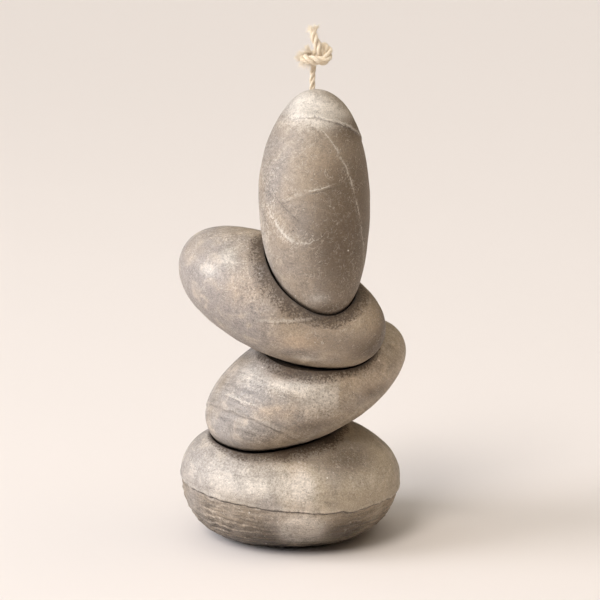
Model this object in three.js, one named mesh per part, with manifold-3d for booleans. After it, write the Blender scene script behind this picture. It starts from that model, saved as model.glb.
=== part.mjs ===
// A cairn of four smooth pebbles with a knotted cotton wick in the crown.
//
// Millimetres, +Z up. The cairn stands on z = 0, and the middle of the stones' bounding box is over
// the origin. Seen from the front (looking along +Y), +X is to the right.
//
// Every pebble is one ellipsoid with a few broad swells. A pebble keeps its whole shape at its lower
// end and sits in a dish in the stone below it, with a thin gap all round the dish.

import * as THREE from 'three';
import { mergeVertices } from 'three/addons/utils/BufferGeometryUtils.js';
import Module from 'manifold-3d';

// ---------------------------------------------------------------------------------------------
// Driving dimensions
// ---------------------------------------------------------------------------------------------

// centre: middle of the pebble. half: its half length, half depth and half height before it is
// turned. lean, tilt and turn: degrees about X, Y and Z. A swell pushes the skin out (by > 0) or in
// (by < 0) around one direction in the pebble's own frame; focus is how local it is.
const STONES = [
  {
    name: 'base_stone',
    colour: 0x9b958c,
    centre: [0.2, 3.3, 23.2],
    half: [46.5, 45, 30.4],
    lean: 0,
    tilt: 0,
    turn: 0,
    swells: [
      { towards: [0, -0.55, -0.8], by: -4.2, focus: 4 },
      { towards: [-0.8, -0.3, 0.55], by: 7.2, focus: 5 },
      { towards: [0.8, -0.3, 0.55], by: 1.8, focus: 5 },
      { towards: [0.85, -0.3, -0.45], by: -1.3, focus: 5 },
      { towards: [-0.85, -0.3, -0.45], by: 1.2, focus: 5 },
    ],
  },
  {
    name: 'lower_stone',
    colour: 0x97928a,
    centre: [4.7, -3.1, 69.9],
    half: [47.3, 33.6, 23.1],
    lean: 3.5,
    tilt: -21.2,
    turn: 19,
    swells: [
      { towards: [-1, -0.2, 0.35], by: -2.6, focus: 5 },
      { towards: [1, -0.2, 0.4], by: 0.6, focus: 5 },
    ],
  },
  {
    name: 'upper_stone',
    colour: 0x9a948b,
    centre: [-5.8, -12.1, 109.1],
    half: [46, 29.6, 23.4],
    lean: 3.8,
    tilt: 24,
    turn: -17.5,
    swells: [
      { towards: [-0.75, -0.2, 0.65], by: 1.5, focus: 5 },
      { towards: [-0.7, -0.3, -0.65], by: 1.2, focus: 5 },
      { towards: [0.7, -0.3, 0.65], by: 6.8, focus: 5 },
      { towards: [1, -0.2, -0.1], by: 1, focus: 5 },
      { towards: [0.1, -0.75, 0.65], by: -2.2, focus: 5 },
    ],
  },
  {
    name: 'top_stone',
    colour: 0x9c978f,
    centre: [8.5, -25.1, 153.1],
    half: [23.2, 22.4, 45.1],
    lean: -12,
    tilt: -1.4,
    turn: 0,
    swells: [
      { towards: [0.5, -0.2, -0.85], by: 4, focus: 6 },
      { towards: [-0.6, -0.3, 0.75], by: -2, focus: 6 },
      { towards: [0.6, -0.2, 0.75], by: 1.4, focus: 6 },
      { towards: [-1, -0.2, 0.1], by: -0.8, focus: 5 },
      { towards: [0, 0, -1], by: 2.2, focus: 5 },
    ],
  },
];

const STONE_DETAIL = 8;        // an icosahedron's edge is cut this many times
const SEAT_GAP = 0.35;         // between a pebble and the dish that holds it
const FLOOR_CUT = 20;          // depth of the block that cuts the foot flat at z = 0

const WICK_DIAMETER = 2.5;
const WICK_SIDES = 8;
const WICK_STEPS = 80;
const WICK_GAP = 0.3;          // between the wick and the wall of its hole
const WICK_HOLE_SIDES = 16;
const KNOT_CENTRE = [9, -15.9, 211.3];

// The wick's centreline, in wick diameters from the middle of the knot: up out of its hole, round an
// overhand knot, and up again to the cut end. The second point is where it leaves the stone.
const WICK_ROUTE = [
  [-0.4, 0, -9.4],
  [-0.4, 0, -5.6],
  [-0.4, 0, -3.8],
  [-0.3, 0.1, -2.4],
  [-0.2, 0.3, -1.3],
  [0, 0.4, -0.3],
  [0.4, 0.6, 0.6],
  [1.15, 0.5, 1.25],
  [2, 0.1, 0.95],
  [2.15, -0.5, 0.1],
  [1.7, -0.9, -0.8],
  [0.7, -1.1, -0.9],
  [-0.4, -1.1, -0.8],
  [-1.4, -0.8, -0.7],
  [-1.9, 0, -0.5],
  [-1.6, 0.8, -0.2],
  [-0.8, 1.4, -0.1],
  [0.2, 1.6, -0.1],
  [1, 1.1, -0.2],
  [1.2, 0, 0],
  [0.7, -0.6, 0.8],
  [0.3, -0.6, 1.8],
  [-0.1, -0.5, 2.8],
  [-0.5, -0.3, 3.6],
  [-0.8, -0.1, 4.2],
];

// ---------------------------------------------------------------------------------------------
// Solids
// ---------------------------------------------------------------------------------------------

const wasm = await Module();
wasm.setup();

/** A closed geometry with its shared corners merged. */
function weld(geometry) {
  geometry.deleteAttribute('normal');
  geometry.deleteAttribute('uv');
  return mergeVertices(geometry);
}

function toSolid(geometry) {
  return new wasm.Manifold(new wasm.Mesh({
    numProp: 3,
    vertProperties: new Float32Array(geometry.attributes.position.array),
    triVerts: new Uint32Array(geometry.index.array),
  }));
}

function toGeometry(solid) {
  const mesh = solid.getMesh();
  const geometry = new THREE.BufferGeometry();
  geometry.setAttribute('position', new THREE.BufferAttribute(mesh.vertProperties, 3));
  geometry.setIndex(new THREE.BufferAttribute(mesh.triVerts, 1));
  geometry.computeVertexNormals();
  return geometry;
}

/** A pebble in its own frame, its skin moved out by grow. */
function pebble(stone, grow = 0) {
  const geometry = weld(new THREE.IcosahedronGeometry(1, STONE_DETAIL));
  const skin = geometry.attributes.position;
  const half = new THREE.Vector3(...stone.half).addScalar(grow);
  const swells = stone.swells.map(({ towards, by, focus }) => (
    { towards: new THREE.Vector3(...towards).normalize(), by, focus }
  ));
  for (let i = 0; i < skin.count; i += 1) {
    const ray = new THREE.Vector3().fromBufferAttribute(skin, i).normalize();
    const point = ray.clone().multiply(half);
    for (const { towards, by, focus } of swells) {
      const strength = Math.exp(-focus * (1 - ray.dot(towards)));
      point.addScaledVector(towards, by * strength);
    }
    skin.setXYZ(i, point.x, point.y, point.z);
  }
  return geometry;
}

/** The matrix from a pebble's own frame to the cairn's. */
function placeOf(stone) {
  const turned = new THREE.Euler(
    THREE.MathUtils.degToRad(stone.lean),
    THREE.MathUtils.degToRad(stone.tilt),
    THREE.MathUtils.degToRad(stone.turn),
  );
  return new THREE.Matrix4().compose(
    new THREE.Vector3(...stone.centre),
    new THREE.Quaternion().setFromEuler(turned),
    new THREE.Vector3(1, 1, 1),
  );
}

/** What is cut from a stone, as solids in the cairn's frame: the dish, the foot, the wick's hole. */
function cutsFor(index) {
  const cuts = [];
  const above = STONES[index + 1];
  if (above) {
    cuts.push(pebble(above, SEAT_GAP).applyMatrix4(placeOf(above)));
  } else {
    cuts.push(wickHole());
  }
  if (index === 0) {
    const [x, y] = STONES[index].centre;
    const [halfX, halfY] = STONES[index].half;
    const block = new THREE.BoxGeometry(3 * halfX, 3 * halfY, FLOOR_CUT);
    cuts.push(weld(block).translate(x, y, -FLOOR_CUT / 2));
  }
  return cuts;
}

function stoneMesh(stone, index) {
  const place = placeOf(stone);
  const toOwnFrame = place.clone().invert();
  let solid = toSolid(pebble(stone));
  for (const cut of cutsFor(index)) {
    solid = solid.subtract(toSolid(cut.applyMatrix4(toOwnFrame)));
  }
  const material = new THREE.MeshStandardMaterial({ color: stone.colour, roughness: 0.6, metalness: 0 });
  const mesh = new THREE.Mesh(toGeometry(solid), material);
  mesh.name = stone.name;
  place.decompose(mesh.position, mesh.quaternion, mesh.scale);
  return mesh;
}

// ---------------------------------------------------------------------------------------------
// Wick
// ---------------------------------------------------------------------------------------------

function wickPoint([x, y, z]) {
  return new THREE.Vector3(x, y, z).multiplyScalar(WICK_DIAMETER).add(new THREE.Vector3(...KNOT_CENTRE));
}

/** The straight blind hole that the wick stands in, up to well clear of the crown. */
function wickHole() {
  const bottom = wickPoint(WICK_ROUTE[0]);
  const exit = wickPoint(WICK_ROUTE[1]);
  const radius = WICK_DIAMETER / 2 + WICK_GAP;
  const depth = exit.z - bottom.z + WICK_GAP;
  const tall = 2 * depth;
  const hole = new THREE.CylinderGeometry(radius, radius, tall, WICK_HOLE_SIDES);
  hole.rotateX(Math.PI / 2);
  return weld(hole).translate(bottom.x, bottom.y, bottom.z - WICK_GAP + tall / 2);
}

function wickMesh() {
  const section = new THREE.Shape();
  for (let i = 0; i < WICK_SIDES; i += 1) {
    const angle = (2 * Math.PI * i) / WICK_SIDES;
    const corner = new THREE.Vector2(Math.cos(angle), Math.sin(angle)).multiplyScalar(WICK_DIAMETER / 2);
    if (i === 0) {
      section.moveTo(corner.x, corner.y);
    } else {
      section.lineTo(corner.x, corner.y);
    }
  }
  const middle = new THREE.Vector3(...KNOT_CENTRE);
  const route = WICK_ROUTE.map((point) => wickPoint(point).sub(middle));
  const geometry = new THREE.ExtrudeGeometry(section, {
    steps: WICK_STEPS,
    bevelEnabled: false,
    extrudePath: new THREE.CatmullRomCurve3(route),
  });
  const material = new THREE.MeshStandardMaterial({ color: 0xe6d3b0, roughness: 0.9, metalness: 0 });
  const mesh = new THREE.Mesh(weld(geometry), material);
  mesh.geometry.computeVertexNormals();
  mesh.name = 'wick';
  mesh.position.copy(middle);
  return mesh;
}

// ---------------------------------------------------------------------------------------------
// Cairn
// ---------------------------------------------------------------------------------------------

const cairn = new THREE.Group();
cairn.add(...STONES.map(stoneMesh));
cairn.add(wickMesh());

export default cairn;
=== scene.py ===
import math
import random

import bpy
import numpy as np
from mathutils import Matrix, Vector, noise
from mathutils.bvhtree import BVHTree


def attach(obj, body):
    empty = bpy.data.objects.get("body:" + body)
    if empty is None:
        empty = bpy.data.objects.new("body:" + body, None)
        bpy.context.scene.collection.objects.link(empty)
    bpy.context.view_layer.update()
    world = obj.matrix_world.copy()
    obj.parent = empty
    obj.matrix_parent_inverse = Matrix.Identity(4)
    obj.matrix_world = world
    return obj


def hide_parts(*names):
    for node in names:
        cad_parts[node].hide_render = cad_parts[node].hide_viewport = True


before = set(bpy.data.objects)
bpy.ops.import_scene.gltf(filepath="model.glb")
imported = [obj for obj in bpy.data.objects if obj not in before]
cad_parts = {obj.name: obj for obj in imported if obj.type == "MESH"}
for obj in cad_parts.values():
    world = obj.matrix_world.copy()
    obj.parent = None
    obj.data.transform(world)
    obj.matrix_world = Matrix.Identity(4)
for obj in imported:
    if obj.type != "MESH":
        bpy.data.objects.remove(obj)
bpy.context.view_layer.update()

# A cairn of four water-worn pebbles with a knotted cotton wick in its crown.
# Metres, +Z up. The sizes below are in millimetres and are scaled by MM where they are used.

MM = 0.001

# ------------------------------------------------------------------------------------------------
# Driving dimensions
# ------------------------------------------------------------------------------------------------

# centre, half: middle and half sizes of the pebble. lean, tilt, turn: degrees about X, Y and Z.
# swells: (direction in the pebble's own frame, how far the skin moves out, how local it is).
# bed: (point, normal) of the bedding, the flat layers that the stone was laid down in.
# ledges: (height along the bedding, depth, reach, middle, width) of small steps worn along a layer.
# split: (middle, reach) of what is still smooth below the first ledge, where the skin has come off.
# dents: (middle, reach, depth) of shallow hollows in the skin.
# veins: (kind, point, normal, half width, strength, middle, reach), thin sheets through the stone.
# patches: (kind, middle, reach along X Y Z, strength, a point on its sharp right edge or None). A pale,
# warm or dark patch is a stain, save those marked as painted highlight or painted shade; sheen is
# smoother, dry is thick with loose grains, and lines is where fine layers are worn to lines.
# opening: (middle, reach, width) of the widest stretch of the joint above the stone, if it has one.
# tones: the stone's colours, cool, warm and light; cool to warm runs from its lit left to its shaded
# right as painted light. ledge_shade, lip: how dark the painted shade along its first ledge is, and how
# pale the lip above it, partly the pale rim of the top stone's crown and partly a painted highlight.
# grain: how strong its scatter of grains is. banding: how strong its layers show. under_shade: how much
# painted shade darkens it where it faces down. soot_and_shade: (middle, reach, width) of the stretches of
# its upper joint where sooty grit and painted shade spread out further.
STONES = {
    "base_stone": dict(
        centre=(0.2, 3.3, 23.2), half=(46.5, 45, 30.4), lean=0, tilt=0, turn=0,
        swells=[((0, -0.55, -0.8), -4.2, 4), ((-0.8, -0.3, 0.55), 7.2, 5),
                ((0.8, -0.3, 0.55), 1.8, 5), ((0.85, -0.3, -0.45), -1.3, 5),
                ((-0.85, -0.3, -0.45), 1.2, 5)],
        bed=((-1.9, -28.3, 24.7), (0.07, -0.05, 1.0)),
        ledges=[(0.0, 0.8, 10, (0, 0, 24), (200, 200, 200)), (13.0, 0.15, 3, (-18, -36, 38), (22, 20, 20))],
        split=[((6, -36, 16), (13, 14, 10))],
        dents=[],
        veins=[("dark", (25.5, -29.2, 14.9), (-0.33, 0.31, 0.89), 0.35, 0.6, (27, -29, 14), 17),
               ("dark", (-16.7, -34.7, 37.8), (-0.075, -0.047, 0.996), 0.3, 0.4, (-17, -35, 38), 18)],
        patches=[
            ("warm", (3, -38, 35), (5, 14, 12), 1.0, None),
            ("warm", (4, -38, 15), (10, 14, 7.5), 1.0, None),
            ("pale", (4, -38, 14), (9, 14, 7), 2.0, None),
            ("dark", (-12, -37, 14), (8, 14, 7), 0.5, None),
            ("dark", (20, -34, 14), (8, 14, 8), 0.6, None),
            ("pale", (-32, -22, 36), (20, 24, 11), 0.45, None),
            ("pale", (-16, -38, 34), (17, 14, 6), 0.55, None),
            ("pale", (4, -40, 34), (6, 12, 9), 0.9, None),
            ("dark", (-15, -38, 27), (20, 14, 4), 0.3, None),
            ("pale", (32, -28, 33), (12, 14, 4), 0.35, None),
            ("dark", (28, -30, 28), (18, 16, 4), 0.2, None),
            ("dark", (25, -29, 43), (18, 18, 6.5), 0.85, None),
            ("dark", (-12, -28, 46), (17, 14, 4), 0.95, None),
            # Painted shade: the next two dark patches darken the foot, near the board it stands on.
            ("dark", (28, -28, 11), (18, 18, 9), 0.5, None),
            ("dark", (-16, -34, 6), (20, 16, 5), 0.5, None),
            ("dark", (-24, -32, 19), (8, 16, 3), 0.35, None),
            ("dry", (24, -32, 42), (19, 18, 9), 0.25, None),
            ("dry", (-14, -38, 42), (24, 14, 6), 0.45, None),
            ("dry", (0, -40, 30), (9, 12, 9), 0.4, None),
            ("dry", (-30, -26, 16), (18, 18, 8), 0.35, None),
            ("lines", (-24, -32, 32), (22, 20, 8), 0.8, None),
            ("lines", (26, -30, 16), (22, 20, 9), 0.9, None),
            ("lines", (-28, -30, 14), (22, 20, 9), 0.6, None),
            ("lines", (12, 40, 26), (40, 30, 18), 0.6, None)],
        opening=((-18, -34, 50), (18, 20, 8), 1.6),
        tones=("#9b928a", "#ae9f89", "#bfb19e"), ledge_shade=-0.45,
        lip=0.12, grain=0.7, banding=0.35, under_shade=0.85,
        soot_and_shade=[((-10, -36, 48), (20, 18, 9), 7), ((16, -32, 48), (16, 22, 12), 7)],
    ),
    "lower_stone": dict(
        centre=(4.7, -3.1, 69.9), half=(47.3, 33.6, 23.1), lean=3.5, tilt=-21.2, turn=19,
        swells=[((-1, -0.2, 0.35), -2.6, 5), ((1, -0.2, 0.4), 0.6, 5)],
        bed=((-23, -27.7, 63.1), (0.4, 0.33, 0.85)),
        ledges=[(0.0, 0.35, 5, (-22, -28, 63), (26, 40, 20))],
        dents=[],
        veins=[("dark", (-22.4, -29.4, 58), (0.2, -0.18, 0.96), 0.3, 0.45, (-20, -30, 58), 16),
               ("pale", (-30, -22, 70), (0.4, 0.33, 0.85), 0.5, 0.35, (-28, -24, 70), 16),
               ("dark", (-27, -24, 75), (0.45, 0.3, 0.84), 0.9, 0.3, (-27, -24, 75), 16),
               ("dark", (-31, -20, 65), (0.45, 0.3, 0.84), 0.9, 0.3, (-29, -22, 65), 15)],
        patches=[
            # Painted highlight: a pale band along the top, just below the upper stone.
            ("pale", (-3, -34, 77), (10, 12, 3), 0.75, None),
            ("warm", (-6, -36, 66), (16, 12, 6), 0.5, None),
            # Painted light: a lit patch that ends at a sharp right edge, a painted shadow edge.
            ("pale", (13, -35, 72), (11, 12, 8), 0.75, (19.9, -33, 72)),
            ("pale", (-14, -33, 60), (9, 12, 5), 0.4, None),
            ("pale", (-20, -30, 80), (8, 14, 6), 0.6, None),
            ("sheen", (-3, -34, 77), (12, 12, 4), 0.4, None),
            ("pale", (32, -28, 80), (9, 14, 7), 0.35, None),
            ("warm", (32, -26, 80), (14, 16, 12), 0.6, None),
            ("pale", (-22, -28, 84), (8, 12, 6), 0.4, None),
            ("dark", (9, -35, 59), (14, 14, 4), 0.6, None),
            # Partly sooty grit, partly painted shade under the upper stone's front.
            ("dark", (1, -36, 82), (19, 14, 4.5), 0.95, None),
            ("dark", (36, -22, 71), (14, 14, 5), 0.6, None),
            ("dry", (-6, -36, 76), (15, 12, 4), 0.7, None),
            ("dry", (12, -36, 64), (12, 14, 8), 0.55, None),
            ("dry", (-12, -34, 55), (22, 14, 4), 0.4, None),
            ("lines", (-24, -28, 67), (18, 18, 14), 1.0, None),
            ("lines", (10, 24, 70), (34, 20, 14), 0.6, None)],
        opening=((-3, -37, 87), (16, 14, 9), 3.6),
        tones=("#97908a", "#ac9b85", "#bcad9b"), ledge_shade=-0.22,
        lip=0.1, grain=0.75, banding=0.85, under_shade=0.2,
        soot_and_shade=[((4, -38, 84), (22, 20, 10), 9)],
    ),
    "upper_stone": dict(
        centre=(-5.8, -12.1, 109.1), half=(46, 29.6, 23.4), lean=3.8, tilt=24, turn=-17.5,
        swells=[((-0.75, -0.2, 0.65), 1.5, 5), ((-0.7, -0.3, -0.65), 1.2, 5), ((0.7, -0.3, 0.65), 6.8, 5),
                ((1, -0.2, -0.1), 1, 5), ((0.1, -0.75, 0.65), -2.2, 5)],
        bed=((-3.1, -42.7, 104.7), (-0.12, -0.46, 0.88)),
        ledges=[(0.0, 0.2, 2.5, (-3, -42, 105), (13, 20, 12))],
        dents=[((-22, -32, 127), (6, 10, 3), 0.25)],
        veins=[("dark", (-28, -26, 138), (0.1, -0.3, 0.95), 0.5, 0.35, (-27, -26, 138), 7)],
        patches=[
            # Painted highlights: these two pale spots are reflections of the light on the left.
            ("pale", (-26.2, -28, 130), (4, 8, 6), 0.7, None),
            ("pale", (-35, -27, 124), (4, 8, 3), 0.6, None),
            ("warm", (-18, -34, 118), (14, 14, 10), 0.6, None),
            ("warm", (3, -41, 97), (11, 14, 5), 0.7, None),
            ("sheen", (-26, -28, 127), (12, 12, 10), 1.0, None),
            # Painted highlight low on the front.
            ("pale", (5, -37, 89), (7, 8, 2.4), 0.6, None),
            ("sheen", (5, -37, 89), (10, 10, 4), 0.7, None),
            ("dark", (24, -34, 113), (18, 22, 7), 0.6, None),
            # Partly stain, partly painted shade around where the top stone rests.
            ("dark", (2, -42, 108), (15, 14, 6), 0.5, None),
            ("dark", (30, -28, 92), (11, 14, 6), 1.0, None),
            ("dark", (37, -24, 100), (7, 14, 9), 0.9, None),
            ("dark", (16, -36, 98), (14, 14, 5), 0.5, None),
            ("dry", (-14, -36, 121), (8, 14, 14), 0.7, None),
            ("dry", (6, -42, 107), (18, 12, 4), 0.6, None),
            ("dry", (24, -36, 112), (11, 14, 7), 0.45, None),
            ("dry", (-26, -20, 137), (16, 16, 3), 0.6, None)],
        opening=((-8, -36, 114), (14, 14, 14), 0.6),
        tones=("#9a918a", "#ad9a82", "#bdad99"), ledge_shade=-0.18,
        lip=0.3, grain=0.7, banding=0.25, under_shade=0.3,
        soot_and_shade=[((-9, -32, 124), (13, 24, 18), 10), ((18, -36, 112), (20, 20, 12), 7)],
    ),
    "top_stone": dict(
        centre=(8.5, -25.1, 153.1), half=(23.2, 22.4, 45.1), lean=-12, tilt=-1.4, turn=0,
        swells=[((0.5, -0.2, -0.85), 4, 6), ((-0.6, -0.3, 0.75), -2, 6),
                ((0.6, -0.2, 0.75), 1.4, 6), ((-1, -0.2, 0.1), -0.8, 5),
                ((0, 0, -1), 2.2, 5)],
        bed=((12.2, -30.6, 184.7), (0.14, 0.42, 0.89)),
        ledges=[(0.0, 0.6, 4, (17, -36, 182), (15, 34, 18))],
        dents=[],
        veins=[("pale", (21.7, -40.4, 166.5), (0.62, 0.76, 0.2), 0.35, 0.5, (25, -40, 155), 32),
               ("pale", (-2.2, -46, 141.6), (-0.15, -0.86, 0.49), 0.45, 0.85, (-3.5, -45, 144), 10.5),
               ("dark", (-2.7, -45, 152.3), (0.52, -0.37, 0.77), 0.35, 0.5, (-2, -44, 152), 11),
               ("pale", (8, -46, 159.7), (-0.28, 0.1, 0.95), 0.35, 0.6, (7, -46, 159), 9),
               ("dark", (8, -46, 158.4), (-0.28, 0.1, 0.95), 0.4, 0.6, (7, -46, 159), 11),
               ("dark", (-10.8, -35.5, 157.4), (0.76, 0.21, 0.61), 0.3, 0.4, (-10, -37, 156), 9)],
        patches=[
            ("pale", (4, -27, 193), (14, 20, 8), 0.8, None),
            ("pale", (17, -30, 186), (9, 14, 5), 0.7, None),
            ("dark", (20, -38, 135), (14, 24, 34), 0.85, None),
            ("dark", (26, -28, 165), (7, 20, 24), 0.4, None),
            ("pale", (-12, -32, 132), (4, 14, 14), 0.5, None),
            ("warm", (13, -41, 170), (9, 12, 9), 0.35, None),
            ("dark", (22, -36, 183), (9, 18, 5), 0.6, None),
            ("dark", (14, -44, 164), (12, 14, 14), 0.25, None),
            ("dark", (13, -46, 138), (10, 12, 12), 0.2, None),
            # Painted shade on the underside of the top stone, just above its joint.
            ("dark", (15, -44, 108), (14, 12, 4), 0.9, None),
            ("pale", (8, -30, 189), (12, 16, 5), 0.4, None),
            # Painted highlight low on the front of the top stone.
            ("pale", (10.6, -44.7, 116), (5, 8, 3), 0.6, None),
            ("sheen", (10, -44, 116), (8, 12, 5), 0.7, None),
            ("dry", (-10, -32, 168), (8, 16, 20), 0.5, None),
            ("dry", (-13, -34, 142), (6, 12, 20), 0.5, None),
            ("dry", (24, -39, 120), (5, 12, 8), 0.25, None),
            ("dry", (15, -32, 186), (16, 14, 4), 0.5, None)],
        tones=("#90877f", "#9e8e7b", "#ad9f8c"), ledge_shade=-0.25,
        lip=0.6, grain=0.7, banding=0.2, under_shade=0.3,
        soot_and_shade=[],
    ),
}
QUADS_A_SIDE = 128             # a pebble starts as a cube with this many faces along each edge
SEAT_GAP = 0.35                # between a pebble and the dish that holds it
LAYER_PITCH = 3.2              # from one split layer to the next
SPLIT_RELIEF = 0.45            # how far a split layer's edge stands out
WRINKLE_STRENGTH = 0.42        # how clearly the fine wrinkles in the skin show
LINE_PITCH = 2.7               # from one thin worn line to the next
SOOT_AND_SHADE_REACH = 2.8               # how far sooty grit and painted shade spread from a joint, where no more is given
FAR_GAP = 14.0                 # a stone that is further away than this counts as this far

WICK_DIAMETER = 2.5
KNOT_CENTRE = (9, -15.9, 211.3)
# The wick's centreline in wick diameters from the middle of the knot: up out of its hole, round an
# overhand knot, and up to the cut end. The second point is where it leaves the stone.
WICK_ROUTE = [
    (-0.4, 0, -9.4), (-0.4, 0, -5.6), (-0.4, 0, -3.8), (-0.3, 0.1, -2.4), (-0.2, 0.3, -1.3),
    (0, 0.4, -0.3), (0.4, 0.6, 0.6), (1.15, 0.5, 1.25), (2, 0.1, 0.95), (2.15, -0.5, 0.1),
    (1.7, -0.9, -0.8), (0.7, -1.1, -0.9), (-0.4, -1.1, -0.8), (-1.4, -0.8, -0.7), (-1.9, 0, -0.5),
    (-1.6, 0.8, -0.2), (-0.8, 1.4, -0.1), (0.2, 1.6, -0.1), (1, 1.1, -0.2), (1.2, 0, 0),
    (0.7, -0.6, 0.8), (0.3, -0.6, 1.8), (-0.1, -0.5, 2.8), (-0.5, -0.3, 3.6), (-0.8, -0.1, 4.2),
]
PLIES = 3
YARNS_A_PLY = 4
PLY_LAY = 3.9                  # wick diameters along the cord for one turn of the plies
YARN_LAY = 1.7                 # the same for the yarns in a ply, which turn the other way
KNOT_START, TAIL_START = 8.4, 23.5     # wick diameters along the cord to its slack, then less slack part
KNOT_SLACK, TAIL_TIGHTER = 0.55, 0.15  # how much wider it is in the knot, and how much less so in the tail

# ------------------------------------------------------------------------------------------------
# Small helpers
# ------------------------------------------------------------------------------------------------


def linear(hexcode):
    """An sRGB hex colour as linear RGBA."""
    channels = [int(hexcode[i:i + 2], 16) / 255 for i in (1, 3, 5)]
    return [c / 12.92 if c <= 0.04045 else ((c + 0.055) / 1.055) ** 2.4 for c in channels] + [1]


def deselect():
    if bpy.context.object and bpy.context.object.mode != "OBJECT":
        bpy.ops.object.mode_set(mode="OBJECT")
    bpy.ops.object.select_all(action="DESELECT")


def only(piece):
    deselect()
    piece.select_set(True)
    bpy.context.view_layer.objects.active = piece


def positions(piece):
    """The piece's vertices, in millimetres."""
    flat = np.empty(len(piece.data.vertices) * 3)
    piece.data.vertices.foreach_get("co", flat)
    return flat.reshape(-1, 3) / MM


def copy_of(piece, name):
    twin = piece.copy()
    twin.data = piece.data.copy()
    twin.name = name
    bpy.context.collection.objects.link(twin)
    return twin


def apply_modifier(piece, kind, **settings):
    only(piece)
    modifier = piece.modifiers.new(kind.title(), kind)
    for key, value in settings.items():
        setattr(modifier, key, value)
    bpy.ops.object.modifier_apply(modifier=modifier.name)


def unit(vector):
    vector = np.asarray(vector, float)
    return vector / np.linalg.norm(vector)


# ------------------------------------------------------------------------------------------------
# Camera
# ------------------------------------------------------------------------------------------------


def make_camera():
    lens, elevation, distance = 110, math.radians(12), 788.3
    target = Vector((2.95, 2.9, 105)) * MM
    back = Vector((0, -math.cos(elevation), math.sin(elevation)))
    bpy.ops.object.camera_add(location=target + back * distance * MM)
    camera = bpy.context.object
    camera.name = "studio_camera"
    camera.data.lens = lens
    camera.data.sensor_width = 36
    camera.rotation_euler = (-back).to_track_quat("-Z", "Y").to_euler()
    bpy.context.scene.camera = camera


# ------------------------------------------------------------------------------------------------
# Material nodes
# ------------------------------------------------------------------------------------------------


def add(tree, kind, settings=(), **links):
    """Add a node. settings: its properties. links: its inputs by name, each a value or a socket."""
    node = tree.nodes.new(kind)
    for key, value in dict(settings).items():
        setattr(node, key, value)
    for key, value in links.items():
        socket = node.inputs[int(key[1:])] if key[1:].isdigit() else node.inputs[key.replace("_", " ")]
        if isinstance(value, bpy.types.NodeSocket):
            tree.links.new(value, socket)
        else:
            socket.default_value = value
    return node


def new_material(name):
    material = bpy.data.materials.new(name)
    material.use_nodes = True
    material.node_tree.nodes.clear()
    return material, material.node_tree


# ------------------------------------------------------------------------------------------------
# Wick
# ------------------------------------------------------------------------------------------------


def smooth_line(route, steps):
    """A centripetal Catmull-Rom curve through the route, with this many points a stretch."""
    route = np.asarray(route, float)
    ends = [2 * route[0] - route[1], *route, 2 * route[-1] - route[-2]]
    line = []
    for before, start, end, after in zip(ends, ends[1:], ends[2:], ends[3:]):
        pairs = ((before, start), (start, end), (end, after))
        d0, d1, d2 = (math.sqrt(np.linalg.norm(b - a)) for a, b in pairs)
        leave = ((start - before) / d0 - (end - before) / (d0 + d1) + (end - start) / d1) * d1
        reach = ((end - start) / d1 - (after - start) / (d1 + d2) + (after - end) / d2) * d1
        t = np.linspace(0, 1, steps, endpoint=False)[:, None]
        line.append(start + leave * t + (3 * (end - start) - 2 * leave - reach) * t ** 2
                    + (2 * (start - end) + leave + reach) * t ** 3)
    return np.vstack([*line, route[-1:]])


def frames_along(line):
    """Distance along the line, and two directions square to it that don't spin about it."""
    along = np.gradient(line, axis=0)
    along /= np.linalg.norm(along, axis=1)[:, None]
    gone = np.r_[0, np.cumsum(np.linalg.norm(np.diff(line, axis=0), axis=1))]
    side = [unit(np.cross(along[0], (0, 1, 0)))]
    for direction in along[1:]:
        carried = side[-1] - direction * (side[-1] @ direction)
        side.append(unit(carried))
    side = np.array(side)
    return gone, side, np.cross(along, side)


def twisted(line, radius, lay, phase, spread=None):
    """A strand wound round the line at the radius. spread widens it, point by point."""
    gone, side, other = frames_along(line)
    angle = phase + 2 * math.pi * gone / lay
    reach = radius if spread is None else radius * spread
    offset = np.cos(angle)[:, None] * side + np.sin(angle)[:, None] * other
    return line + offset * np.broadcast_to(np.asarray(reach, float).reshape(-1, 1), (len(line), 1))


def tubes(name, strands, thickness, tapers, sides=1):
    """One mesh of round tubes, one for each strand of points. Everything is in millimetres."""
    deselect()
    curve = bpy.data.curves.new(name, "CURVE")
    curve.dimensions = "3D"
    curve.bevel_depth = thickness * MM
    curve.bevel_resolution = sides
    curve.use_fill_caps = True
    for index, strand in enumerate(strands):
        spline = curve.splines.new("POLY")
        spline.points.add(len(strand) - 1)
        flat = np.c_[np.asarray(strand) * MM, np.ones(len(strand))]
        spline.points.foreach_set("co", flat.ravel())
        spline.points.foreach_set("radius", np.asarray(tapers[index], float))
    piece = bpy.data.objects.new(name, curve)
    bpy.context.collection.objects.link(piece)
    only(piece)
    bpy.ops.object.convert(target="MESH")
    piece = bpy.context.object
    bpy.ops.object.shade_smooth()
    return piece


def wick_line():
    return smooth_line(WICK_ROUTE, 14) * WICK_DIAMETER + np.array(KNOT_CENTRE)


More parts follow.
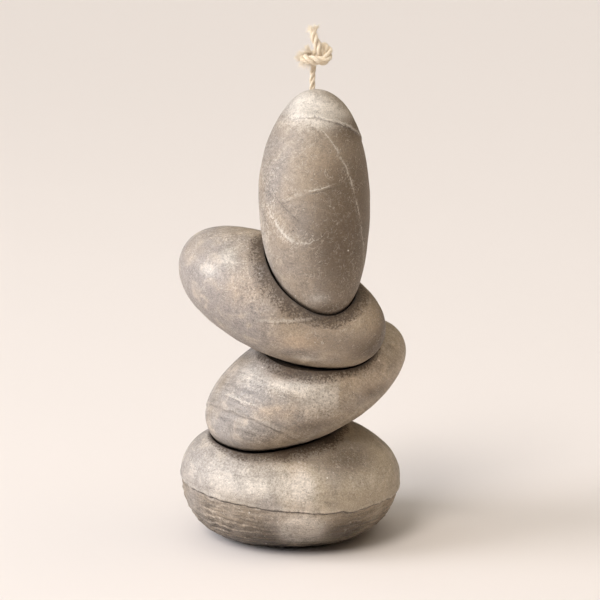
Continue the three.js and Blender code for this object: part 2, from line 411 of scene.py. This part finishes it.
def make_wick():
    """Three plies of four yarns. The lay is slack in the knot and tail, and open at the cut end."""
    d = WICK_DIAMETER
    line = wick_line()
    gone = frames_along(line)[0]
    slack = 1 + KNOT_SLACK * np.clip((gone - KNOT_START * d) / (2 * d), 0, 1)
    slack -= TAIL_TIGHTER * np.clip((gone - TAIL_START * d) / (2 * d), 0, 1)
    open_end = np.clip((gone - gone[-1] + 1.9 * d) / (1.9 * d), 0, 1) ** 1.6
    strands, tapers = [], []
    ply_radius, yarn_radius = 0.24 * d, 0.115 * d
    for ply in range(PLIES):
        phase = 2 * math.pi * ply / PLIES
        middle = twisted(line, d / 2 - ply_radius, PLY_LAY * d, phase, slack)
        part = -1 if ply == 0 else 1
        spread = np.array([(0.3 * part + 0.34) * d, 0.1 * (ply - 1) * d, 0.1 * d])
        middle = middle + open_end[:, None] * spread
        for yarn in range(YARNS_A_PLY):
            turn = 2 * math.pi * yarn / YARNS_A_PLY
            strand = twisted(middle, ply_radius - yarn_radius, -YARN_LAY * d, turn, slack + 0.5 * open_end)
            strands.append(strand)
            tapers.append(slack * (1 - 0.45 * open_end))
    wick = tubes("wick_cord", strands, yarn_radius, tapers)
    return wick, line, strands


def make_fuzz(line, strands):
    """Loose cotton fibres: a brush at the cut end, torn tufts under the knot, and a fine halo."""
    rng = random.Random(7)
    d = WICK_DIAMETER
    fibres, tapers = [], []

    def fibre(start, heading, length, curl, thickness):
        points, heading = [np.array(start, float)], unit(heading)
        steps = 5
        for _ in range(steps):
            bend = np.array([rng.gauss(0, 1) for _ in range(3)]) * curl
            heading = unit(heading + bend)
            points.append(points[-1] + heading * length / steps)
        fibres.append(points)
        tapers.append([thickness * (1 - 0.75 * i / steps) for i in range(steps + 1)])

    for strand in strands:
        out = unit(strand[-1] - strand[-8])
        for _ in range(16):
            jitter = np.array([rng.gauss(0, 0.22) for _ in range(3)])
            start = strand[-1] + jitter - out * 0.9
            fibre(start, out + jitter, rng.uniform(0.5, 1.05) * d, 0.1, rng.uniform(1.5, 3))
    # Where a tuft starts and points, in wick diameters from the knot, with its length and fibres.
    for place, heading, length, count in (
            ((-2.0, -0.6, -0.9), (-0.1, -0.1, -1), 1.6, 80), ((-1.1, -0.9, -0.9), (0.05, -0.1, -1), 1.7, 70),
            ((-2.4, -0.3, -0.5), (-1, -0.1, 0.1), 1.0, 130), ((-2.1, -0.2, 0), (-0.8, 0, 0.7), 0.9, 90),
            ((-1.0, 0.1, 0.6), (-0.5, -0.1, 0.8), 1.2, 130)):
        root = np.array(place) * d + np.array(KNOT_CENTRE)
        for _ in range(count):
            jitter = np.array([rng.gauss(0, 0.3) for _ in range(3)])
            fibre(root + 1.6 * jitter, np.array(heading) + 0.8 * jitter,
                  rng.uniform(0.5, 1) * length * d, 0.16, rng.uniform(1, 2.2))
    gone, side, other = frames_along(line)
    exposed = [i for i in range(len(line)) if line[i][2] > KNOT_CENTRE[2] - 6.0 * d]
    for _ in range(1100):
        i = rng.choice(exposed)
        angle = rng.uniform(0, 2 * math.pi)
        out = math.cos(angle) * side[i] + math.sin(angle) * other[i]
        along = unit(line[min(i + 1, len(line) - 1)] - line[i - 1])
        thick = 1 if gone[i] < KNOT_START * d else 1 + KNOT_SLACK
        fibre(line[i] + out * 0.44 * thick * d, out + along * rng.uniform(-2.2, 2.2),
              rng.uniform(0.2, 0.6) * d, 0.5, rng.uniform(0.5, 1))
    return tubes("wick_fuzz", fibres, 0.04, tapers, sides=0)


# ------------------------------------------------------------------------------------------------
# Pebbles
# ------------------------------------------------------------------------------------------------


def lumps(p, size, octaves=2):
    """Smooth random values of about -1 to 1 at points in millimetres, in lumps of this size."""
    return np.array([noise.fractal(Vector(q) / size, 1.0, 2.0, octaves) for q in p])


def bed_height(stone, p):
    """How far above the stone's main layer each point is, in millimetres, along the wavy bedding."""
    point, normal = stone["bed"]
    return (p - np.array(point)) @ unit(normal) + 1.1 * lumps(p, 24) + 0.6 * lumps(p, 4.5, 4)


def blot(p, middle, reach):
    """1 at the middle of a soft egg-shaped area, fading to 0 outside its reach along X, Y and Z."""
    return np.exp(-(((p - np.array(middle)) / np.array(reach)) ** 2).sum(axis=1))


def split_skin(stone, p, height):
    """Where the smooth skin has come off below the main ledge, from 0 to 1."""
    if "split" not in stone:
        return np.zeros(len(p))
    bare = np.clip(-height / 1.5, 0, 1) * np.clip(0.75 + 1.2 * lumps(p + 40, 15), 0, 1)
    for middle, reach in stone["split"]:
        bare *= 1 - np.clip(1.4 * blot(p, middle, reach), 0, 1)
    return bare


def round_blank():
    """A cube of fine faces, pushed out to a ball of radius 1."""
    deselect()
    bpy.ops.mesh.primitive_cube_add(size=2)
    blank = bpy.context.object
    blank.name = "blank"
    bpy.ops.object.mode_set(mode="EDIT")
    bpy.ops.mesh.select_all(action="SELECT")
    bpy.ops.mesh.subdivide(number_cuts=QUADS_A_SIDE - 1)
    bpy.ops.transform.tosphere(value=1.0)
    bpy.ops.object.mode_set(mode="OBJECT")
    radius = np.linalg.norm(positions(blank)[0]) * MM
    blank.scale = (1 / radius,) * 3
    only(blank)
    bpy.ops.object.transform_apply(location=False, rotation=False, scale=True)
    return blank


def swell(piece, towards, amount, focus, half):
    """Pull the ball's skin out round one direction, softly, as in proportional editing."""
    heading = unit(towards)
    nearest = int((positions(piece) @ heading).argmax())
    bpy.ops.object.mode_set(mode="EDIT")
    bpy.ops.mesh.select_all(action="DESELECT")
    bpy.ops.object.mode_set(mode="OBJECT")
    piece.data.vertices[nearest].select = True
    bpy.ops.object.mode_set(mode="EDIT")
    bpy.ops.transform.translate(
        value=tuple(heading * amount / np.array(half)), use_proportional_edit=True,
        proportional_edit_falloff="SMOOTH", proportional_size=2.35 / math.sqrt(focus))
    bpy.ops.object.mode_set(mode="OBJECT")


def displace_by(piece, depths):
    """Move the skin along its normals by these distances in millimetres, one for each vertex."""
    most = max(float(np.abs(depths).max()), 0.001)
    for name, sign in (("out", 1), ("in", -1)):
        group = piece.vertex_groups.new(name=name)
        for index in np.nonzero(sign * depths > 0.005)[0]:
            group.add([int(index)], float(sign * depths[index] / most), "REPLACE")
        apply_modifier(piece, "DISPLACE", strength=sign * most * MM, mid_level=0, vertex_group=name)
    piece.vertex_groups.clear()


def worn_skin(stone, p):
    """How far the skin stands out or lies back at each point: ledges, split layers and dents."""
    height = bed_height(stone, p)
    depths = np.zeros(len(p))
    for level, depth, reach, middle, width in stone["ledges"]:
        below = np.clip(level - height, 0, None)
        seen = np.clip(1.5 * blot(p, middle, width), 0, 1)
        depths -= depth * seen * np.clip(below / 0.6, 0, 1) * np.exp(-below / reach)
        depths += 0.35 * depth * seen * np.exp(-((height - level - 0.7) / 0.8) ** 2)
    bare = split_skin(stone, p, height)
    layer = ((height + 1.8 * lumps(p, 13)) / LAYER_PITCH) % 1.0
    depths += bare * (SPLIT_RELIEF * (layer - 0.5) + 0.25 * lumps(p, 2.6))
    for middle, reach, depth in stone["dents"]:
        depths -= depth * blot(p, middle, reach)
    return depths


def make_pebble(name, stone, blank):
    piece = copy_of(blank, "pebble_" + name)
    only(piece)
    for towards, amount, focus in stone["swells"]:
        swell(piece, towards, amount, focus, stone["half"])
    turned = (Matrix.Rotation(math.radians(stone["lean"]), 4, "X")
              @ Matrix.Rotation(math.radians(stone["tilt"]), 4, "Y")
              @ Matrix.Rotation(math.radians(stone["turn"]), 4, "Z"))
    sized = Matrix.Diagonal((*[h * MM for h in stone["half"]], 1))
    piece.matrix_world = Matrix.Translation(Vector(stone["centre"]) * MM) @ turned @ sized
    only(piece)
    bpy.ops.object.transform_apply(location=True, rotation=True, scale=True)
    displace_by(piece, worn_skin(stone, positions(piece)))

    for texture_name, size, height in (("swales", 22, 0.8), ("dimples", 6, 0.16), ("grit", 1.6, 0.04)):
        texture = bpy.data.textures.get(texture_name) or bpy.data.textures.new(texture_name, "CLOUDS")
        texture.noise_scale = size * MM
        texture.noise_depth = 2
        apply_modifier(piece, "DISPLACE", strength=height * MM, mid_level=0.5, texture=texture,
                       texture_coords="LOCAL")
    return piece


def flatten_foot(piece):
    """Cut the base stone level at the surface that it stands on."""
    only(piece)
    bpy.ops.object.mode_set(mode="EDIT")
    bpy.ops.mesh.select_all(action="SELECT")
    bpy.ops.mesh.bisect(plane_co=(0, 0, 0), plane_no=(0, 0, 1), use_fill=True, clear_inner=True,
                        threshold=1e-6)
    bpy.ops.object.mode_set(mode="OBJECT")


def tree_of(piece):
    return BVHTree.FromPolygons([v.co for v in piece.data.vertices],
                                [tuple(f.vertices) for f in piece.data.polygons])


def gap_to(tree, p, far=FAR_GAP):
    """Distance from each point to another stone's skin, up to far, all in millimetres."""
    found = (tree.find_nearest(Vector(q) * MM, far * MM)[3] for q in p)
    return np.array([far if distance is None else distance / MM for distance in found])


def seat(lower, upper, opening):
    """Sink a dish in the lower stone for the upper one, a little wider at its worn lip.

    opening: (middle, reach, width) of the stretch where the lip is worn back the most.
    """
    cutter = copy_of(upper, "cutter")
    p = positions(cutter)
    lip = np.exp(-(gap_to(tree_of(lower), p) / 2.2) ** 2)
    middle, reach, width = opening
    growth = SEAT_GAP + lip * (0.25 + 0.35 * np.clip(lumps(p, 11), 0, 1) + width * blot(p, middle, reach))
    displace_by(cutter, growth)
    apply_modifier(lower, "BOOLEAN", operation="DIFFERENCE", object=cutter, solver="EXACT")
    bpy.data.objects.remove(cutter)


def store(piece, name, values):
    attribute = piece.data.attributes.new(name, "FLOAT", "POINT")
    attribute.data.foreach_set("value", np.ascontiguousarray(values, dtype=np.float32))


def mark_pebble(piece, stone, below, above):
    """Store where the layers, veins, stains, painted light and shade, and joints lie, for the stone's
    material to read.

    Distances are in millimetres. A vein's distance grows past its reach, so it thins out there.
    """
    p = positions(piece)
    height = bed_height(stone, p)
    store(piece, "bed", height)
    middle, width = stone["ledges"][0][3:]
    store(piece, "ledge", np.clip(1.5 * blot(p, middle, width), 0, 1))
    normals = np.empty(len(p) * 3)
    piece.data.vertex_normals.foreach_get("vector", normals)
    store(piece, "under", np.clip(-normals.reshape(-1, 3)[:, 2], 0, 1))
    store(piece, "split", split_skin(stone, p, height))
    for kind in ("pale", "warm", "dark", "sheen", "dry", "lines"):
        marks = [strength * blot(p, middle, reach) * (1 if edge is None else
                 np.clip((np.array(edge) - p)[:, 0] / 0.8, 0, 1))
                 for key, middle, reach, strength, edge in stone["patches"] if key == kind]
        store(piece, kind, np.clip(sum(marks, np.zeros(len(p))), 0, 1))
    wander = 0.8 * lumps(p, 9) + 0.25 * lumps(p, 2.5)
    for index, (kind, point, normal, half_width, strength, middle, reach) in enumerate(stone["veins"]):
        near = np.exp(-(np.linalg.norm(p - np.array(middle), axis=1) / reach) ** 4)
        off = (p - np.array(point)) @ unit(normal) + wander
        store(piece, f"vein_{index}", np.clip(off / np.clip(near, 0.02, 1), -20, 20))
    widths = [extra * blot(p, middle, reach) for middle, reach, extra in stone["soot_and_shade"]]
    store(piece, "soot_and_shade", np.clip(sum(widths, np.full(len(p), SOOT_AND_SHADE_REACH)), 0.5, 20))
    for name, tree in (("gap_below", below), ("gap_above", above)):
        store(piece, name, np.full(len(p), FAR_GAP) if tree is None else gap_to(tree, p))


def pebble_material(name, stone):
    """Water-worn siltstone: layered mud turned to stone, then tumbled smooth in a river.

    To the eye it is a satin, warm grey with soft clouds, thin pale veins and layers, a few flecks,
    sooty grit and painted shade in its joints, and a few painted highlights. Stone reflects with an IOR
    of about 1.5.
    """
    material, tree = new_material("tumbled_siltstone_" + name)
    tones = stone["tones"]

    def attribute(key):
        return add(tree, "ShaderNodeAttribute", dict(attribute_name=key)).outputs["Fac"]

    def maths(operation, a, b=0.0, c=0.0):
        return add(tree, "ShaderNodeMath", dict(operation=operation), _0=a, _1=b, _2=c).outputs[0]

    def clouds(size, detail=3.0, roughness=0.55, vector=None, distortion=0.0):
        """Noise whose blobs are about this many millimetres across."""
        return add(tree, "ShaderNodeTexNoise", (), Vector=vector or place, Scale=1 / (size * MM),
                   Detail=detail, Roughness=roughness, Distortion=distortion).outputs["Fac"]

    def between(value, low, high):
        return add(tree, "ShaderNodeMapRange", dict(interpolation_type="SMOOTHSTEP"), Value=value,
                   From_Min=low, From_Max=high).outputs["Result"]

    def mix(amount, a, b):
        return add(tree, "ShaderNodeMix", dict(data_type="RGBA"), _0=amount, _6=a, _7=b).outputs[2]

    def spots(spacing, radius, share):
        """Round spots of this radius, in millimetres, in this share of the cells of a net."""
        cell = add(tree, "ShaderNodeTexVoronoi", (), Vector=place, Scale=1 / (spacing * MM))
        chosen = add(tree, "ShaderNodeSeparateColor", (), Color=cell.outputs["Color"]).outputs["Red"]
        inside = between(cell.outputs["Distance"], radius / spacing, 0.4 * radius / spacing)
        return maths("MULTIPLY", inside, maths("LESS_THAN", chosen, share))

    place = add(tree, "ShaderNodeTexCoord").outputs["Object"]
    bed, split = attribute("bed"), attribute("split")
    axes = add(tree, "ShaderNodeSeparateXYZ", (), Vector=place)
    # The layers are 14 times as long as they are thick.
    layer_place = add(tree, "ShaderNodeCombineXYZ", (), X=axes.outputs["X"], Y=axes.outputs["Y"],
                      Z=maths("MULTIPLY", bed, 14 * MM)).outputs[0]

    broad = clouds(24, 2.0)
    zones = clouds(13, 3.0)
    mottle = clouds(7, 5.0, 0.6, distortion=0.7)
    layers = clouds(15, 4.0, 0.65, layer_place)
    grain = clouds(0.5, 2.0, 0.7)
    grit = clouds(0.95, 3.0, 0.7)

    # Painted light: each stone is tinted cooler on its left, where the cool daylight falls, and warmer on
    # its shaded right.
    lit_to_shaded_tint = maths("MULTIPLY_ADD", axes.outputs["X"], 0.006 / MM, broad)
    colour = mix(between(lit_to_shaded_tint, 0.22, 0.75), linear(tones[0]), linear(tones[1]))
    colour = mix(maths("MULTIPLY", between(mottle, 0.5, 0.72), 0.5), colour, linear(tones[2]))
    # Where the skin has come off, the stone is browner.
    colour = mix(maths("MULTIPLY", split, 0.5), colour, linear("#98866f"))
    shade = maths("MULTIPLY_ADD", maths("SUBTRACT", mottle, 0.5), 0.8, 1.0)
    layering = maths("MULTIPLY_ADD", split, 1.1, stone["banding"])
    shade = maths("MULTIPLY_ADD", maths("SUBTRACT", layers, 0.5), layering, shade)
    shade = maths("MULTIPLY_ADD", split, -0.14, shade)
    ledge = attribute("ledge")
    # Painted shade: a dark line just under the first ledge, as shade under its overhang.
    painted_ledge_shade = maths("MULTIPLY", between(maths("ABSOLUTE", maths("ADD", bed, 0.2)), 0.5, 0.1), ledge)
    shade = maths("MULTIPLY_ADD", painted_ledge_shade, stone["ledge_shade"], shade)
    # Painted shade: darker where the skin faces down, most at the foot.
    shade = maths("MULTIPLY_ADD", maths("POWER", attribute("under"), 2.0), -stone["under_shade"], shade)

    ragged = maths("MULTIPLY_ADD", maths("SUBTRACT", grit, 0.5), 0.5,
                   maths("MULTIPLY", maths("SUBTRACT", mottle, 0.5), 0.6))
    for key, stain, cover in (
            ("warm", "#bda58b", 0.75), ("pale", "#d6cec3", 0.75), ("dark", "#5f4f3e", 0.88)):
        amount = between(maths("ADD", attribute(key), ragged), 0.05, 0.95)
        colour = mix(maths("MULTIPLY", amount, cover), colour, linear(stain))
    # A pale lip along the ledge: partly the pale rim of the top stone's crown, partly a painted highlight on
    # the ledge's edge.
    ragged_bed = maths("MULTIPLY_ADD", maths("SUBTRACT", grit, 0.5), 4.0, bed)
    lip = maths("MULTIPLY", between(maths("ABSOLUTE", maths("SUBTRACT", ragged_bed, 0.7)), 1.1, 0.2), ledge)
    lip = maths("MULTIPLY", lip, between(zones, 0.3, 0.55))
    drag = maths("MULTIPLY", between(maths("ABSOLUTE", maths("SUBTRACT", bed, 2.6)), 2.2, 0.8), ledge)
    drag = maths("MULTIPLY", maths("MULTIPLY", drag, between(grit, 0.48, 0.6)), stone["lip"])
    colour = mix(maths("MULTIPLY", drag, 0.6), colour, linear("#6f604f"))
    colour = mix(maths("MULTIPLY", lip, stone["lip"]), colour, linear("#ddd5c9"))

    grit_height = maths("MULTIPLY_ADD", attribute("dry"), 0.7, 0.35)
    relief = maths("MULTIPLY_ADD", grit, grit_height, maths("MULTIPLY", mottle, 0.5))
    relief = maths("MULTIPLY_ADD", grain, 0.4, relief)
    relief = maths("MULTIPLY_ADD", layers, maths("MULTIPLY_ADD", split, 2.4, 0.4), relief)
    broken = between(clouds(4, 2.0), 0.36, 0.56)
    for index, (kind, _, _, half_width, strength, _, _) in enumerate(stone["veins"]):
        off = maths("ABSOLUTE", attribute(f"vein_{index}"))
        tint = linear("#d8cfc2" if kind == "pale" else "#51473c")
        halo = maths("MULTIPLY", between(off, 6 * half_width, 0.0), 0.35 * strength)
        colour = mix(maths("MULTIPLY", halo, between(grit, 0.42, 0.58)), colour, tint)
        off = maths("MULTIPLY_ADD", maths("ABSOLUTE", maths("SUBTRACT", grit, 0.5)), 2.5, off)
        line = maths("MULTIPLY", between(off, 1.9 * half_width, 0.3 * half_width), strength)
        line = maths("MULTIPLY", line, broken)
        colour = mix(line, colour, tint)
        relief = maths("MULTIPLY_ADD", line, 0.5 if kind == "pale" else -0.8, relief)

    # Fine wrinkles in the skin, paler on one side and darker on the other.
    crease = maths("SUBTRACT", clouds(5.5, 4.0, 0.6, distortion=1.6), 0.5)
    for low, high, tint in ((0.0, 0.03, "#d8cfc2"), (-0.03, 0.0, "#554a3f")):
        middle = (low + high) / 2
        wrinkle = maths("MULTIPLY", between(crease, low, middle), between(crease, high, middle))
        wrinkle = maths("MULTIPLY", maths("MULTIPLY", wrinkle, broken), WRINKLE_STRENGTH)
        colour = mix(wrinkle, colour, linear(tint))
    relief = maths("MULTIPLY_ADD", between(crease, -0.03, 0.03), 0.35, relief)

    # Fine layers worn to thin broken lines.
    phase = maths("FRACT", maths("MULTIPLY_ADD", layers, 1.6, maths("DIVIDE", bed, LINE_PITCH)))
    line = between(maths("ABSOLUTE", maths("SUBTRACT", phase, 0.5)), 0.09, 0.02)
    line = maths("MULTIPLY", maths("MULTIPLY", line, between(zones, 0.4, 0.55)), attribute("lines"))
    colour = mix(maths("MULTIPLY", line, 0.38), colour, linear("#5d5247"))
    relief = maths("MULTIPLY_ADD", line, -0.4, relief)

    # A dry scatter of paler and darker grains, thick in some places and thin in others.
    near_joint = between(attribute("gap_above"), 9.0, 1.5)
    scatter = maths("MULTIPLY_ADD", between(zones, 0.42, 0.6), 0.16, 0.06)
    scatter = maths("ADD", scatter, maths("MULTIPLY", near_joint, 0.25))
    scatter = maths("MULTIPLY", maths("ADD", scatter, attribute("dry")), stone["grain"])
    scatter = maths("MINIMUM", scatter, 1.0)
    colour = mix(maths("MULTIPLY", between(grit, 0.5, 0.68), maths("MULTIPLY", scatter, 0.7)), colour,
                 linear("#d9cfc1"))
    colour = mix(maths("MULTIPLY", between(grit, 0.47, 0.34), maths("MULTIPLY", scatter, 0.7)), colour,
                 linear("#4c4238"))
    shade = maths("MULTIPLY_ADD", maths("SUBTRACT", grain, 0.5), 1.1, shade)
    shade = maths("MULTIPLY_ADD", maths("SUBTRACT", grit, 0.5), 0.6, shade)

    flecks = spots(7, 0.45, 0.4)
    colour = mix(maths("MULTIPLY", flecks, 0.75), colour, linear("#ece5da"))
    pits = spots(8, 0.5, 0.3)
    colour = mix(maths("MULTIPLY", pits, 0.55), colour, linear("#3f372f"))
    relief = maths("MULTIPLY_ADD", pits, -1.0, relief)

    # Sooty grit and painted shade lie thick in the joints and thin out into specks.
    for key, share, cover in (("gap_above", 1.0, 0.88), ("gap_below", 0.7, 0.75)):
        gap = attribute(key)
        reach = maths("MULTIPLY", attribute("soot_and_shade"), maths("MULTIPLY_ADD", zones, 1.2 * share, 0.4 * share))
        closeness = maths("MAXIMUM", maths("SUBTRACT", 1.0, maths("DIVIDE", gap, reach)), 0.0)
        specks = maths("MULTIPLY_ADD", mottle, 0.6, maths("MULTIPLY", grit, 1.9))
        thick = maths("MULTIPLY_ADD", closeness, 0.5, specks)
        amount = maths("MULTIPLY", between(thick, 1.16, 1.68), between(closeness, 0.0, 0.2))
        colour = mix(maths("MULTIPLY", amount, cover), colour, linear("#3f2f20"))
        # Right at each joint, a near-black line of painted shade.
        gap = maths("MULTIPLY_ADD", maths("SUBTRACT", grit, 0.5), 4.5, gap)
        colour = mix(maths("MULTIPLY", between(gap, 1.6, 0.2), 0.85), colour, linear("#211912"))
    colour = add(tree, "ShaderNodeVectorMath", dict(operation="SCALE"), _0=colour, Scale=shade).outputs[0]

    rough = maths("MULTIPLY_ADD", mottle, -0.15, 0.62)
    rough = maths("MULTIPLY_ADD", attribute("sheen"), -0.16, rough)
    rough = maths("MULTIPLY_ADD", split, 0.15, rough)
    bump = add(tree, "ShaderNodeBump", (), Strength=0.6, Distance=0.3 * MM, Height=relief)
    shader = add(tree, "ShaderNodeBsdfPrincipled", (), Base_Color=colour, Roughness=rough, IOR=1.5,
                 Normal=bump.outputs["Normal"])
    add(tree, "ShaderNodeOutputMaterial", (), Surface=shader.outputs[0])
    return material


def cotton_material(name, shade):
    """Undyed cotton yarn: matt, with a faint halo of fibre ends that catches the light."""
    material, tree = new_material(name)
    place = add(tree, "ShaderNodeTexCoord").outputs["Object"]
    tone = add(tree, "ShaderNodeTexNoise", (), Vector=place, Scale=1 / (1.5 * MM), Detail=3.0)
    colour = add(tree, "ShaderNodeMix", dict(data_type="RGBA"), _0=tone.outputs["Fac"],
                 _6=linear(shade), _7=linear("#f5ebda"))
    fibre = add(tree, "ShaderNodeTexNoise", (), Vector=place, Scale=1 / (0.3 * MM), Detail=2.0)
    bump = add(tree, "ShaderNodeBump", (), Strength=0.5, Distance=0.08 * MM, Height=fibre.outputs["Fac"])
    shader = add(tree, "ShaderNodeBsdfPrincipled", (), Base_Color=colour.outputs[2], Roughness=0.9,
                 Sheen_Weight=0.4, Sheen_Roughness=0.4, Normal=bump.outputs["Normal"])
    add(tree, "ShaderNodeOutputMaterial", (), Surface=shader.outputs[0])
    return material


# ------------------------------------------------------------------------------------------------
# Studio
# ------------------------------------------------------------------------------------------------


def make_studio():
    """A pale board, and soft daylight: cool from the left, warm from the front, wide from above."""
    deselect()
    bpy.ops.mesh.primitive_circle_add(vertices=96, radius=9, fill_type="NGON")
    floor = bpy.context.object
    floor.name = "studio_floor"
    material, tree = new_material("painted_board")
    shader = add(tree, "ShaderNodeBsdfPrincipled", (), Base_Color=linear("#e8e0da"), Roughness=0.9)
    add(tree, "ShaderNodeOutputMaterial", (), Surface=shader.outputs[0])
    floor.data.materials.append(material)

    world = bpy.data.worlds.new("studio_air")
    bpy.context.scene.world = world
    world.use_nodes = True
    background = world.node_tree.nodes["Background"]
    background.inputs["Color"].default_value = linear("#efe9e2")
    background.inputs["Strength"].default_value = 0.04

    # Azimuth is where the light comes from: 0 is the viewer's side and -90 is the left.
    for name, azimuth, elevation, width, strength, colour in (
            ("left_daylight", -80, 22, 34, 1.95, (0.9, 0.92, 1.0)),
            ("key_daylight", -29, 45, 22, 1.54, (1.0, 0.95, 0.91)),
            ("sky", 0, 82, 80, 1.2, (1.0, 0.97, 0.88)),
            ("back_daylight", -112, 26, 40, 0.25, (0.5, 0.7, 1.0)),
            ("right_fill", 90, 35, 60, 0.38, (1.0, 0.78, 0.58))):
        bpy.ops.object.light_add(type="SUN", location=(0, 0, 1))
        lamp = bpy.context.object
        lamp.name = name
        lamp.data.energy = strength
        lamp.data.angle = math.radians(width)
        lamp.data.color = colour
        turn, rise = math.radians(azimuth), math.radians(elevation)
        source = Vector((math.sin(turn) * math.cos(rise), -math.cos(turn) * math.cos(rise), math.sin(rise)))
        lamp.rotation_euler = source.to_track_quat("Z", "Y").to_euler()

    # A soft lamp close by on the left front, so that the board is a little brighter on that side.
    bpy.ops.object.light_add(type="AREA", location=(-1.0, -0.4, 0.8))
    lamp = bpy.context.object
    lamp.name = "near_lamp"
    lamp.data.shape = "DISK"
    lamp.data.size = 0.8
    lamp.data.energy = 5.0
    lamp.data.color = (0.96, 0.96, 1.0)
    lamp.rotation_euler = (lamp.location - Vector((-0.2, 0, 0))).to_track_quat("Z", "Y").to_euler()


# ------------------------------------------------------------------------------------------------
# Assembly
# ------------------------------------------------------------------------------------------------

make_camera()

cord, cord_line, cord_strands = make_wick()
fuzz = make_fuzz(cord_line, cord_strands)
cord.data.materials.append(cotton_material("twisted_cotton", "#dac4a2"))
fuzz.data.materials.append(cotton_material("loose_cotton", "#f6ebd8"))
for part in (cord, fuzz):
    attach(part, "root")
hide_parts("wick")

blank = round_blank()
pebbles = {name: make_pebble(name, stone, blank) for name, stone in STONES.items()}
bpy.data.objects.remove(blank)
flatten_foot(pebbles["base_stone"])
order = list(STONES)
for below, above in zip(order, order[1:]):
    seat(pebbles[below], pebbles[above], STONES[below]["opening"])
trees = {name: tree_of(piece) for name, piece in pebbles.items()}
for index, (name, piece) in enumerate(pebbles.items()):
    below, above = (trees.get(order[i]) if 0 <= i < len(order) else None for i in (index - 1, index + 1))
    mark_pebble(piece, STONES[name], below, above)
    piece.data.materials.clear()
    piece.data.materials.append(pebble_material(name, STONES[name]))
    only(piece)
    bpy.ops.object.shade_smooth_by_angle(angle=math.radians(40))
    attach(piece, "root")
    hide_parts(name)

make_studio()
bpy.context.scene.view_settings.view_transform = "Standard"
